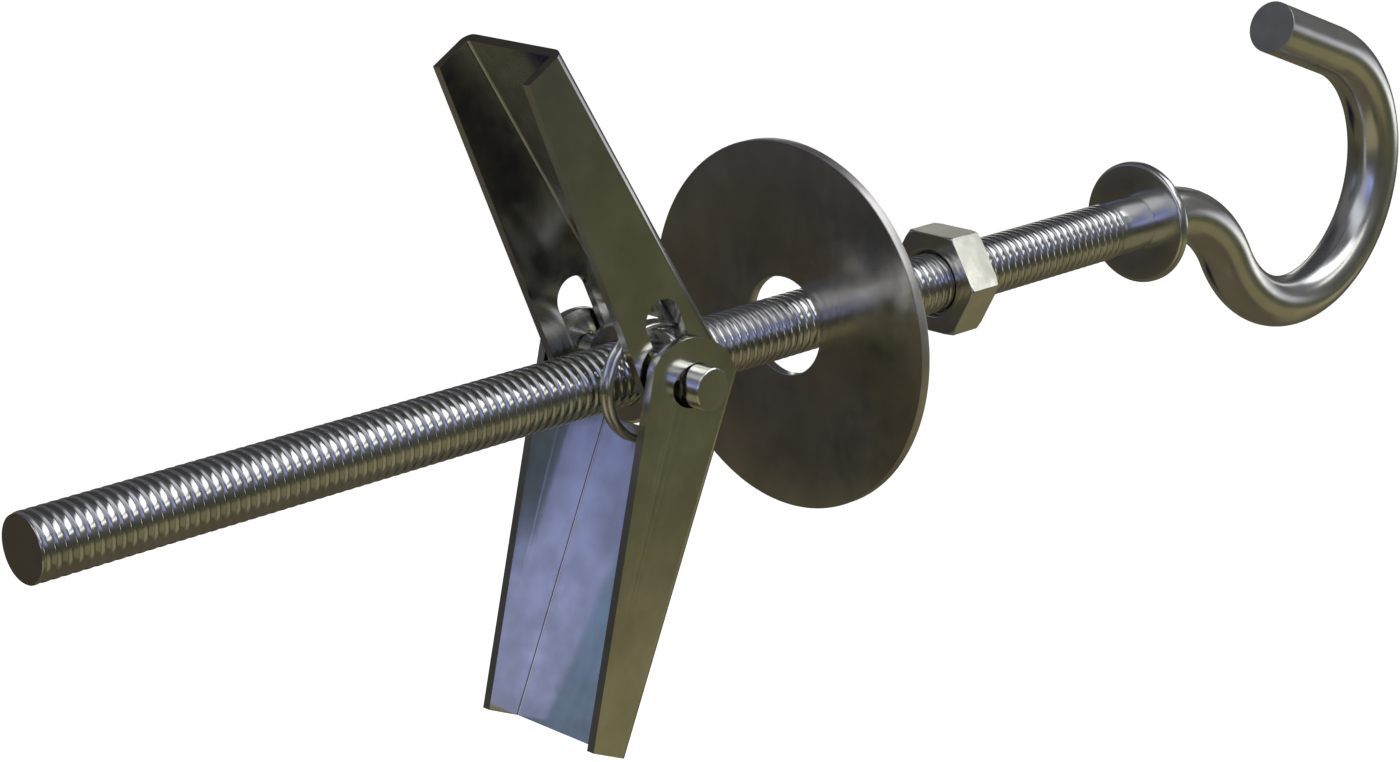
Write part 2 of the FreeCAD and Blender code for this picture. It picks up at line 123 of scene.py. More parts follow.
def thread_tree():
    """Thread surface: a helical grid whose rows follow the profile and whose seam closes on itself."""
    tree, size = new_tree("screw thread", {
        "Start": 0.0, "End": 1.0, "Pitch": THREAD_PITCH, "Crest": THREAD_RADIUS, "Depth": THREAD_DEPTH,
        "Shank": WIRE_RADIUS, "Runout": THREAD_RUNOUT, "Break": END_BREAK,
        "Sides": WIRE_SIDES, "Rows per pitch": ROWS_PER_PITCH,
    })
    length = math_node(tree, "SUBTRACT", size["End"], size["Start"])
    needed = math_node(tree, "DIVIDE", length, size["Pitch"])
    turns = math_node(tree, "CEIL", math_node(tree, "ADD", needed, SPARE_TURNS))
    steps = math_node(tree, "MULTIPLY", turns, size["Rows per pitch"])
    grid = tree.nodes.new("GeometryNodeMeshGrid")
    feed(tree, grid.inputs["Size X"], steps)
    feed(tree, grid.inputs["Size Y"], 1.0)
    feed(tree, grid.inputs["Vertices X"], math_node(tree, "ADD", steps, 1.0))
    feed(tree, grid.inputs["Vertices Y"], math_node(tree, "ADD", size["Sides"], 1.0))

    split = tree.nodes.new("ShaderNodeSeparateXYZ")
    tree.links.new(tree.nodes.new("GeometryNodeInputPosition").outputs[0], split.inputs[0])
    half_grid = math_node(tree, "DIVIDE", steps, 2.0)
    row = math_node(tree, "ROUND", math_node(tree, "ADD", split.outputs["X"], half_grid))
    around = math_node(tree, "ADD", split.outputs["Y"], 0.5)
    pitches = math_node(tree, "DIVIDE", row, size["Rows per pitch"])
    profile = tree.nodes.new("ShaderNodeFloatCurve")
    across = math_node(tree, "FRACT", math_node(tree, "ADD", pitches, ROUNDING_NUDGE))
    feed(tree, profile.inputs["Value"], across)
    curve = profile.mapping.curves[0]
    curve.points[0].location = (0.0, 0.0)
    curve.points[1].location = (1.0, 0.0)
    for part_of_pitch, part_of_depth in THREAD_PROFILE:
        curve.points.new(part_of_pitch, part_of_depth)
    for point in curve.points:
        point.handle_type = "VECTOR"
    profile.mapping.update()

    travelled = math_node(tree, "MULTIPLY", math_node(tree, "ADD", pitches, around), size["Pitch"])
    along = math_node(tree, "ADD", math_node(tree, "SUBTRACT", size["Start"], size["Pitch"]), travelled)
    along = math_node(tree, "MINIMUM", math_node(tree, "MAXIMUM", along, size["Start"]), size["End"])
    root = math_node(tree, "SUBTRACT", size["Crest"], size["Depth"])
    height = math_node(tree, "MULTIPLY", profile.outputs["Value"], size["Depth"])
    radius = math_node(tree, "ADD", root, height)
    run_from = math_node(tree, "SUBTRACT", size["End"], size["Runout"])
    radius = map_range(tree, along, run_from, size["End"], radius, size["Shank"], "SMOOTHSTEP")
    face = math_node(tree, "SUBTRACT", size["Crest"], size["Break"])
    start_to = math_node(tree, "ADD", size["Start"], size["Break"])
    radius = map_range(tree, along, size["Start"], start_to, face, radius)
    angle = math_node(tree, "MULTIPLY", around, 2 * math.pi)
    place = tree.nodes.new("ShaderNodeCombineXYZ")
    feed(tree, place.inputs["X"], along)
    feed(tree, place.inputs["Y"], math_node(tree, "MULTIPLY", radius, math_node(tree, "COSINE", angle)))
    feed(tree, place.inputs["Z"], math_node(tree, "MULTIPLY", radius, math_node(tree, "SINE", angle)))
    move = tree.nodes.new("GeometryNodeSetPosition")
    feed(tree, move.inputs["Geometry"], grid.outputs["Mesh"])
    feed(tree, move.inputs["Position"], place.outputs[0])

    disc = tree.nodes.new("GeometryNodeMeshCircle")
    disc.fill_type = "NGON"
    feed(tree, disc.inputs["Vertices"], size["Sides"])
    feed(tree, disc.inputs["Radius"], face)
    stand = tree.nodes.new("GeometryNodeTransform")
    feed(tree, stand.inputs["Geometry"], disc.outputs[0])
    feed(tree, stand.inputs["Rotation"], (math.pi / 2, 0.0, math.pi / 2))
    centre = tree.nodes.new("ShaderNodeCombineXYZ")
    feed(tree, centre.inputs["X"], size["Start"])
    feed(tree, stand.inputs["Translation"], centre.outputs[0])

    join = tree.nodes.new("GeometryNodeJoinGeometry")
    tree.links.new(move.outputs[0], join.inputs[0])
    tree.links.new(stand.outputs[0], join.inputs[0])
    merge = tree.nodes.new("GeometryNodeMergeByDistance")
    feed(tree, merge.inputs["Geometry"], join.outputs[0])
    feed(tree, merge.inputs["Distance"], THREAD_WELD)
    return tree, merge.outputs[0]


def finish_tree(tree, geometry, material):
    """End a tree as every tree here ends: instances made real, then the material."""
    real = tree.nodes.new("GeometryNodeRealizeInstances")
    coat = tree.nodes.new("GeometryNodeSetMaterial")
    coat.inputs["Material"].default_value = material
    out = tree.nodes.new("NodeGroupOutput")
    tree.links.new(geometry, real.inputs[0])
    tree.links.new(real.outputs[0], coat.inputs[0])
    tree.links.new(coat.outputs[0], out.inputs[0])


def in_scene(name, data):
    """A new object of the scene that shows the data."""
    shown = bpy.data.objects.new(name, data)
    bpy.context.scene.collection.objects.link(shown)
    return shown


def applied(host):
    """The plain mesh that comes out of a host's modifier; the host itself goes."""
    evaluated = host.evaluated_get(bpy.context.evaluated_depsgraph_get())
    mesh = bpy.data.meshes.new_from_object(evaluated)
    bpy.data.objects.remove(host)
    return mesh


def grown_mesh(tree, **sizes):
    """Run a tree on an empty object and return its result."""
    host = in_scene("host", bpy.data.meshes.new("host"))
    modifier = host.modifiers.new("grow", "NODES")
    modifier.node_group = tree
    for item in tree.interface.items_tree:
        if item.in_out == "INPUT" and item.name in sizes:
            modifier[item.identifier] = sizes[item.name]
    return applied(host)


def new_piece(name, mesh, body, replaced):
    """Put a finished mesh in the scene as a piece that rides on a body and stands for a node."""
    piece = in_scene(name, mesh)
    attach(piece, body)
    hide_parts(replaced)


def rings_to_mesh(rings, close_start=False, close_end=False):
    """Skin a row of equal rings of points, with a flat face on either end if asked."""
    made = bmesh.new()
    rows = [[made.verts.new(point) for point in ring] for ring in rings]
    count = len(rows[0])
    for lower, upper in zip(rows, rows[1:]):
        for i in range(count):
            j = (i + 1) % count
            made.faces.new((lower[i], lower[j], upper[j], upper[i]))
    if close_start:
        made.faces.new(rows[0])
    if close_end:
        made.faces.new(rows[-1])
    bmesh.ops.recalc_face_normals(made, faces=made.faces)
    mesh = bpy.data.meshes.new("skin")
    made.to_mesh(mesh)
    made.free()
    return mesh


def hook_line():
    """Points of the wire's centreline in the XZ plane from the thread's end on, with heading and radius."""
    heading = 0.0
    place = Vector((HOOK_START, 0, 0))
    line = [(Vector((THREAD_END, 0, 0)), 0.0, WIRE_RADIUS), (place.copy(), 0.0, WIRE_RADIUS)]
    for bend_radius, bend_angle, side in HOOK_BENDS:
        steps = round(bend_angle / BEND_STEP)
        turn = math.radians(bend_angle) / steps * side
        chord = 2 * bend_radius * MM * math.sin(abs(turn) / 2)
        for _ in range(steps):
            place = place + chord * Vector((math.cos(heading + turn / 2), 0, math.sin(heading + turn / 2)))
            heading += turn
            line.append((place.copy(), heading, WIRE_RADIUS))
    way = Vector((math.cos(heading), 0, math.sin(heading)))
    line.append((place + way * (TIP_LENGTH - TIP_BREAK), heading, WIRE_RADIUS))
    line.append((place + way * TIP_LENGTH, heading, WIRE_RADIUS - TIP_BREAK))
    return line


def hook_mesh():
    """The wire's surface from the thread's end to the hook's tip."""
    rings = []
    for centre, heading, radius in hook_line():
        outward = Vector((-math.sin(heading), 0, math.cos(heading)))
        ring = []
        for side in range(WIRE_SIDES):
            angle = 2 * math.pi * side / WIRE_SIDES
            ring.append(centre + radius * (math.cos(angle) * Vector((0, 1, 0)) + math.sin(angle) * outward))
        rings.append(ring)
    return rings_to_mesh(rings, close_end=True)


def smooth_by_angle(mesh, sharp_above):
    """Smooth shading, with every edge that bends by more than these degrees kept sharp."""
    made = bmesh.new()
    made.from_mesh(mesh)
    for face in made.faces:
        face.smooth = True
    for edge in made.edges:
        edge.smooth = len(edge.link_faces) == 2 and edge.calc_face_angle(0) < math.radians(sharp_above)
    made.to_mesh(mesh)
    made.free()


def flat_faces_kept_flat(mesh):
    """Give the corners of large flat faces the face's own normal, so only the broken edges look round."""
    host = in_scene("host", mesh)
    weighted = host.modifiers.new("weigh", "WEIGHTED_NORMAL")
    weighted.weight = 100
    weighted.keep_sharp = True
    return applied(host)


def join_meshes(first, second, distance):
    """Add the second mesh to the first and weld the points that meet within the distance."""
    made = bmesh.new()
    made.from_mesh(first)
    made.from_mesh(second)
    bmesh.ops.remove_doubles(made, verts=made.verts, dist=distance)
    bmesh.ops.dissolve_degenerate(made, edges=made.edges, dist=SAME_POINT)
    bmesh.ops.recalc_face_normals(made, faces=made.faces)
    for face in made.faces:
        face.material_index = 0
    made.to_mesh(first)
    made.free()
    return first


def new_material(name):
    """A material with its node tree and its shader."""
    material = bpy.data.materials.new(name)
    material.use_nodes = True
    return material, material.node_tree, material.node_tree.nodes["Principled BSDF"]


def object_place(tree):
    """The shaded point on the piece's own coordinates."""
    return tree.nodes.new("ShaderNodeTexCoord").outputs["Object"]


def axes_of(tree, vector):
    """The outputs X, Y and Z of a vector."""
    split = tree.nodes.new("ShaderNodeSeparateXYZ")
    tree.links.new(vector, split.inputs[0])
    return split.outputs


def object_noise(tree, scale, detail):
    """Noise on the piece's own coordinates, from 0 to 1."""
    noise = tree.nodes.new("ShaderNodeTexNoise")
    noise.inputs["Scale"].default_value = scale
    noise.inputs["Detail"].default_value = detail
    tree.links.new(object_place(tree), noise.inputs["Vector"])
    return noise.outputs["Fac"]


def ramp(tree, value, stops):
    """Turn a value from 0 to 1 into a colour, from stops of (position, colour)."""
    node = tree.nodes.new("ShaderNodeValToRGB")
    tree.links.new(value, node.inputs[0])
    elements = node.color_ramp.elements
    while len(elements) < len(stops):
        elements.new(0.5)
    for element, (position, colour) in zip(elements, stops):
        element.position = position
        element.color = (*colour, 1)
    return node.outputs[0]


def bump(tree, height, strength, distance, shader):
    """Let a height move the shader's normal."""
    node = tree.nodes.new("ShaderNodeBump")
    node.inputs["Strength"].default_value = strength
    node.inputs["Distance"].default_value = distance
    tree.links.new(height, node.inputs["Height"])
    tree.links.new(node.outputs[0], shader.inputs["Normal"])


def plated_steel(name, darker, lighter, smoothest, roughest, cloud_scale, sheared_from=None):
    """Zinc plate: a cloudy tone, cloudier polish and a very shallow waviness.

    Beyond the radius sheared_from the surface is the dull cut of the punch.
    """
    grain_scale = cloud_scale * 3.1
    wave_scale = cloud_scale * 1.7
    cut_blur = 0.02 * MM
    cut_dulling = 0.2
    material, tree, shader = new_material(name)
    shader.inputs["Metallic"].default_value = 1.0
    tone = ramp(tree, object_noise(tree, cloud_scale, detail=4.0), [(0.35, darker), (0.65, lighter)])
    tree.links.new(tone, shader.inputs["Base Color"])
    grain = object_noise(tree, grain_scale, detail=5.0)
    roughness = map_range(tree, grain, 0.3, 0.7, smoothest, roughest)
    if sheared_from:
        spoke = axes_of(tree, object_place(tree))
        squares = [math_node(tree, "POWER", spoke[axis], 2.0) for axis in "YZ"]
        radius = math_node(tree, "SQRT", math_node(tree, "ADD", *squares))
        cut = map_range(tree, radius, sheared_from, sheared_from + cut_blur, 0.0, cut_dulling)
        roughness = math_node(tree, "ADD", roughness, cut)
    tree.links.new(roughness, shader.inputs["Roughness"])
    bump(tree, object_noise(tree, wave_scale, detail=2.0), strength=0.15, distance=0.05 * MM, shader=shader)
    return material


def thread_shade_and_hook_polish(material):
    """Painted shade darkens the thread's colour against the hook's, and bending leaves the hook's polish
    softer.
    """
    tree = material.node_tree
    tone, roughness = (tree.nodes["Principled BSDF"].inputs[name] for name in ("Base Color", "Roughness"))
    along = axes_of(tree, object_place(tree))["X"]
    shaded_thread_tone = tree.nodes.new("ShaderNodeVectorMath")
    shaded_thread_tone.operation = "SCALE"
    tree.links.new(tone.links[0].from_socket, shaded_thread_tone.inputs[0])
    # Painted shade: the thread's colour is scaled down, fading out over the runout toward the hook.
    painted_thread_shade = map_range(tree, along, THREAD_END - THREAD_RUNOUT, THREAD_END, THREAD_PAINTED_SHADE, 1.0)
    feed(tree, shaded_thread_tone.inputs["Scale"], painted_thread_shade)
    tree.links.new(shaded_thread_tone.outputs[0], tone)
    softer = map_range(tree, along, THREAD_END, HOOK_START, 0.0, HOOK_DULLING)
    feed(tree, roughness, math_node(tree, "ADD", roughness.links[0].from_socket, softer))


wire_steel = plated_steel(
    "bright zinc on wire", darker=(0.67, 0.67, 0.64), lighter=(0.77, 0.77, 0.74),
    smoothest=0.14, roughest=0.19, cloud_scale=240.0)
thread_shade_and_hook_polish(wire_steel)
thread, thread_surface = thread_tree()
finish_tree(thread, thread_surface, wire_steel)
rod_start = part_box("hook_rod")[0].x
rod_mesh = join_meshes(grown_mesh(thread, Start=rod_start, End=THREAD_END), hook_mesh(), ROD_WELD)
smooth_by_angle(rod_mesh, ROD_SHARP_ABOVE)
rod_mesh = flat_faces_kept_flat(rod_mesh)
rod_mesh.materials.clear()
rod_mesh.materials.append(wire_steel)
new_piece("hook_wire", rod_mesh, "rod", "hook_rod")


# Collar and washer. The collar is a thin turned disc pressed on the shank, its rim rounded over. The
# washer is punched from sheet and plated, so its faces are flat, its edges only just broken and its
# rim duller, and it hangs loose on the rod.
CORNER_STEPS = 5
DISC_SHARP_ABOVE = 30
COLLAR_EDGE = 0.4 * MM
COLLAR_HOLE_EDGE = 0.02 * MM
COLLAR_SIDES = 128
WASHER_HOLE_RADIUS = 4.8 * MM
WASHER_EDGE = 0.1 * MM
WASHER_RIM_DEPTH = 0.08 * MM
WASHER_SIDES = 256


def lathe(profile, sides):
    """Turn a closed outline of (along, radius) points about the rod's axis."""
    rings = []
    for side in range(sides):
        angle = 2 * math.pi * side / sides
        rings.append([Vector((x, r * math.cos(angle), r * math.sin(angle))) for x, r in profile])
    rings.append(rings[0])
    made = rings_to_mesh(rings)
    joined = bmesh.new()
    joined.from_mesh(made)
    bmesh.ops.remove_doubles(joined, verts=joined.verts, dist=SAME_POINT)
    bmesh.ops.recalc_face_normals(joined, faces=joined.faces)
    joined.to_mesh(made)
    joined.free()
    return made


def rounded_corner(x, r, toward_x, toward_r, radius):
    """Arc points round the corner (x, r) of a rectangle whose middle lies toward the given sides."""
    points = []
    for step in range(CORNER_STEPS + 1):
        angle = math.pi / 2 * step / CORNER_STEPS
        in_x = toward_x * radius * (1 - math.cos(angle))
        in_r = toward_r * radius * (1 - math.sin(angle))
        points.append((x + in_x, r + in_r))
    return points


def disc_profile(low, high, hole, rim, hole_edge, rim_edge):
    """Outline of half a holed disc's section, with rounded corners."""
    corners = rounded_corner(low, rim, 1, -1, rim_edge)
    corners += reversed(rounded_corner(high, rim, -1, -1, rim_edge))
    corners += rounded_corner(high, hole, -1, 1, hole_edge)
    corners += reversed(rounded_corner(low, hole, 1, 1, hole_edge))
    return corners


collar_low, collar_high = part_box("stop_collar")
collar_outline = disc_profile(
    collar_low.x, collar_high.x, WIRE_RADIUS, collar_high.z, COLLAR_HOLE_EDGE, COLLAR_EDGE)
collar_mesh = lathe(collar_outline, COLLAR_SIDES)
smooth_by_angle(collar_mesh, DISC_SHARP_ABOVE)
collar_mesh.materials.append(wire_steel)
new_piece("pressed_collar", collar_mesh, "rod", "stop_collar")

washer_low, washer_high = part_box("wall_washer")
washer_outline = disc_profile(
    washer_low.x, washer_high.x, WASHER_HOLE_RADIUS, washer_high.y, WASHER_EDGE, WASHER_EDGE)
washer_mesh = lathe(washer_outline, WASHER_SIDES)
smooth_by_angle(washer_mesh, DISC_SHARP_ABOVE)
washer_steel = plated_steel(
    "zinc on washer", darker=(0.60, 0.58, 0.54), lighter=(0.75, 0.72, 0.68),
    smoothest=0.14, roughest=0.22, cloud_scale=200.0, sheared_from=washer_high.y - WASHER_RIM_DEPTH)
washer_mesh.materials.append(washer_steel)
new_piece("wide_washer", washer_mesh, "washer", "wall_washer")


# Hexagon nut and trunnion nut. Both are cut from bar, threaded to run on the rod, and plated. The
# trunnion's barrel sits round the rod and its two pins carry the wings.
NUT_EDGE = 0.08 * MM
TRUNNION_EDGE = 0.005 * MM
PIN_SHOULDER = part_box("trunnion_nut")[1].y - 0.5 * MM
PIN_TRIM = 0.3 * MM
SOLID_WELD = 0.001 * MM
SAME_PLANE = math.radians(1)
BREAK_ABOVE = math.radians(40)
SOLID_SHARP_ABOVE = 50


def softened_copy(node, edge_break):
    """A joined-up copy of a solid's surface whose corners are broken as on the real part."""
    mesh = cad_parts[node].data.copy()
    mesh.materials.clear()
    made = bmesh.new()
    made.from_mesh(mesh)
    bmesh.ops.remove_doubles(made, verts=made.verts, dist=SOLID_WELD)
    bmesh.ops.dissolve_limit(
        made, angle_limit=SAME_PLANE, verts=made.verts, edges=made.edges, delimit=set())
    made.to_mesh(mesh)
    made.free()
    host = in_scene("host", mesh)
    bevel = host.modifiers.new("break", "BEVEL")
    bevel.width = edge_break
    bevel.segments = 2
    bevel.limit_method = "ANGLE"
    bevel.angle_limit = BREAK_ABOVE
    bevel.use_clamp_overlap = True
    result = applied(host)
    smooth_by_angle(result, SOLID_SHARP_ABOVE)
    return flat_faces_kept_flat(result)


nut_steel = plated_steel(
    "zinc on nuts", darker=(0.71, 0.70, 0.66), lighter=(0.80, 0.79, 0.75),
    smoothest=0.12, roughest=0.2, cloud_scale=240.0)
nut_mesh = softened_copy("hex_nut", NUT_EDGE)
nut_mesh.materials.append(nut_steel)
new_piece("hexagon_nut", nut_mesh, "nut", "hex_nut")

# The trunnion's pins end a little short of the solid's, each point past the shoulder moved in.
trunnion_mesh = softened_copy("trunnion_nut", TRUNNION_EDGE)
trunnion_mesh.materials.append(nut_steel)
for point in trunnion_mesh.vertices:
    if abs(point.co.y) > PIN_SHOULDER:
        point.co.y -= math.copysign(PIN_TRIM, point.co.y)
new_piece("trunnion", trunnion_mesh, "toggle", "trunnion_nut")


# Wings. Two channels stamped and folded from zinc-plated sheet, the upper one nested inside the lower.
# The sheet has the cloudy look of plate, and the lower one's pin holes are loose on the trunnion's pins.
WING_EDGE = 0.03 * MM
PIVOT = Vector((-18.8, 0, 0)) * MM
HOLE_REACH = 2.3 * MM
HOLE_STRETCH = 1.38


def loosen_pin_holes(mesh):
    """Lengthen the round pin holes toward the rod's free end, to the loose fit of stamped sheet."""
    for point in mesh.vertices:
        spoke = Vector((point.co.x, 0, point.co.z)) - PIVOT
        if spoke.length < HOLE_REACH and spoke.x < 0:
            point.co.x = PIVOT.x + spoke.x * HOLE_STRETCH


wing_steel = plated_steel(
    "zinc on folded sheet", darker=(0.62, 0.62, 0.56), lighter=(0.77, 0.77, 0.71),
    smoothest=0.13, roughest=0.19, cloud_scale=220.0)
for wing, body in (("upper_wing", "upper"), ("lower_wing", "lower")):
    wing_mesh = softened_copy(wing, WING_EDGE)
    if wing == "lower_wing":
        loosen_pin_holes(wing_mesh)
    wing_mesh.materials.append(wing_steel)
    new_piece(f"folded_{wing}", wing_mesh, body, wing)


# Torsion spring. Two turns of hard drawn wire round the near pin, with a straight leg along the
# inside of each wing's web.
COIL_CENTRE = PIVOT + Vector((-2.35, 0, 0.2)) * MM
COIL_RADIUS = 5.35 * MM
COIL_FIRST = -3.425 * MM
COIL_PITCH = 0.755 * MM
COIL_TURNS = 2
COIL_WIRE = 0.375 * MM
COIL_STEP = math.radians(4.5)
COIL_WELD = 0.0001 * MM
LEG_LENGTH = 11.0 * MM
LEG_STEPS = 12
LEG_BREAK = 0.08 * MM
SPRING_SIDES = 20
SPRING_SHARP_ABOVE = 60
UPPER_LEAN = math.radians(30.65)
LOWER_LEAN = math.radians(24.7)

# Where the wire passes the pin's centre line, as angles turned from the upper leg to the lower one.
half_turns = [0.0] + [UPPER_LEAN + math.pi * count for count in range(2 * COIL_TURNS + 1)]
half_turns.append(half_turns[-1] + LOWER_LEAN)


def wire_ring(centre, outward, tangent, radius):
    """Points round the wire's section, square to the way it runs."""
    binormal = tangent.cross(outward).normalized()
    ring = []
    for side in range(SPRING_SIDES):
        angle = 2 * math.pi * side / SPRING_SIDES
        ring.append(centre + radius * (math.cos(angle) * outward + math.sin(angle) * binormal))
    return ring


def coil_point(turned):
    """Centre, outward and forward directions of the wire after the coil has turned by an angle."""
    angle = UPPER_LEAN - turned
    outward = Vector((math.cos(angle), 0, math.sin(angle)))
    climb = COIL_PITCH / (2 * math.pi)
    centre = COIL_CENTRE + outward * COIL_RADIUS + Vector((0, COIL_FIRST - climb * turned, 0))
    forward = Vector((COIL_RADIUS * math.sin(angle), -climb, -COIL_RADIUS * math.cos(angle))).normalized()
    return centre, outward, forward


def leg_mesh(turned, way):
    """A straight leg that leaves the coil along its tangent, its end lightly broken."""
    centre, outward, forward = coil_point(turned)
    rings = []
    for step in range(LEG_STEPS + 1):
        reach = LEG_LENGTH * step / LEG_STEPS
        rings.append(wire_ring(centre + forward * way * reach, outward, forward, COIL_WIRE))
    rings[-1] = wire_ring(centre + forward * way * (LEG_LENGTH - LEG_BREAK), outward, forward, COIL_WIRE)
    rings.append(wire_ring(centre + forward * way * LEG_LENGTH, outward, forward, COIL_WIRE - LEG_BREAK))
    mesh = rings_to_mesh(rings, close_start=True, close_end=True)
    smooth_by_angle(mesh, SPRING_SHARP_ABOVE)
    return mesh, centre, centre + forward * way * LEG_LENGTH


def coil_arcs(first_half_turn):
    """Every second half turn of the coil: those above the pin's centre line, or those below it."""
    whole = None
    for low, high in list(zip(half_turns, half_turns[1:]))[first_half_turn::2]:
        steps = max(2, round((high - low) / COIL_STEP))
        turns = [low + (high - low) * step / steps for step in range(steps + 1)]
        arc = rings_to_mesh(
            [wire_ring(*coil_point(turned), COIL_WIRE) for turned in turns],
            close_start=low == half_turns[0], close_end=high == half_turns[-1])
        whole = join_meshes(whole, arc, COIL_WELD) if whole else arc
    smooth_by_angle(whole, SPRING_SHARP_ABOVE)
    return whole


spring_steel = plated_steel(
    "drawn spring wire", darker=(0.70, 0.70, 0.70), lighter=(0.80, 0.80, 0.80),
    smoothest=0.12, roughest=0.2, cloud_scale=300.0)


def give_with(name, mesh):
    """Put a length of spring in the scene in spring wire, where it stands, in place of the solid's spring.
    """
    mesh.materials.clear()
    mesh.materials.append(spring_steel)
    piece = in_scene(name, mesh)
    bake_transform(piece)
    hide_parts("torsion_spring")


for wing, lean, turned, way in (("upper", UPPER_LEAN, 0.0, -1), ("lower", LOWER_LEAN, half_turns[-1], 1)):
    give_with(f"spring_coil_{wing}", coil_arcs(0 if wing == "upper" else 1))
    mesh, root, tip = leg_mesh(turned, way)
    give_with(f"spring_{wing}_leg", mesh)


# Camera. It looks along the rod from its free end, from a little above and from the left.
VIEW_AZIMUTH = math.radians(-43.067)
VIEW_ELEVATION = math.radians(17.06)
VIEW_ROLL = math.radians(-1.479)
VIEW_DISTANCE = 295.821 * MM
VIEW_TARGET = Vector((-11.106, 0, -2.973)) * MM
FOCAL_PIXELS = 3168.07
PICTURE_WIDTH = 1400
SENSOR_WIDTH = 36.0

back = Vector((
    math.sin(VIEW_AZIMUTH) * math.cos(VIEW_ELEVATION),
    -math.cos(VIEW_AZIMUTH) * math.cos(VIEW_ELEVATION),
    math.sin(VIEW_ELEVATION),
))
level_right = (-back).cross(Vector((0, 0, 1))).normalized()
level_up = level_right.cross(-back)
right = math.cos(VIEW_ROLL) * level_right + math.sin(VIEW_ROLL) * level_up
up = math.cos(VIEW_ROLL) * level_up - math.sin(VIEW_ROLL) * level_right
camera_data = bpy.data.cameras.new("camera")
camera_data.sensor_fit = "HORIZONTAL"
camera_data.sensor_width = SENSOR_WIDTH
camera_data.lens = FOCAL_PIXELS / PICTURE_WIDTH * SENSOR_WIDTH
camera_data.clip_start = 0.01
camera = in_scene("camera", camera_data)
facing = Matrix((right, up, back)).transposed().to_4x4()
camera.matrix_world = Matrix.Translation(VIEW_TARGET + back * VIEW_DISTANCE) @ facing
bpy.context.scene.camera = camera


# Studio. Polished metal is only as good as what it mirrors: a tent of dark olive and grey cloth hung
# with paler and darker panels, a wide soft box overhead and a narrow, slightly warm strip beside it.
TENT_RADIUS = 0.75
TENT_ROUNDNESS = 4
LAMP_DISTANCE = 0.6


def heading_vector(azimuth, elevation):
    """Direction from two angles in degrees: round from +X toward +Y, then up."""
    level = math.cos(math.radians(elevation))
    turn = math.radians(azimuth)
    return Vector((level * math.cos(turn), level * math.sin(turn), math.sin(math.radians(elevation))))


def spot_of_cloth(tree, below, way, azimuth, elevation, half_width, half_height, edge, colour):
    """Lay one soft-edged panel of another colour over the tent; all angles are in degrees."""
    forward = heading_vector(azimuth, elevation)
    side = forward.cross(Vector((0, 0, 1))).normalized()
    rise = side.cross(forward)
    parts = []
    for axis in (side, rise, forward):
        dot = tree.nodes.new("ShaderNodeVectorMath")
        dot.operation = "DOT_PRODUCT"
        tree.links.new(way, dot.inputs[0])
        dot.inputs[1].default_value = axis
        parts.append(dot.outputs["Value"])
    masks = []
    for part, half in ((parts[0], half_width), (parts[1], half_height)):
        angle = math_node(tree, "ABSOLUTE", math_node(tree, "ARCTAN2", part, parts[2]))
        limit = math.radians(half)
        soft = math.radians(edge)
        masks.append(map_range(tree, angle, limit - soft, limit + soft, 1.0, 0.0, "SMOOTHSTEP"))
    mix = tree.nodes.new("ShaderNodeMix")
    mix.data_type = "RGBA"
    feed(tree, mix.inputs[0], math_node(tree, "MULTIPLY", *masks))
    feed(tree, mix.inputs[6], below)
    feed(tree, mix.inputs[7], (*colour, 1))
    return mix.outputs[2]


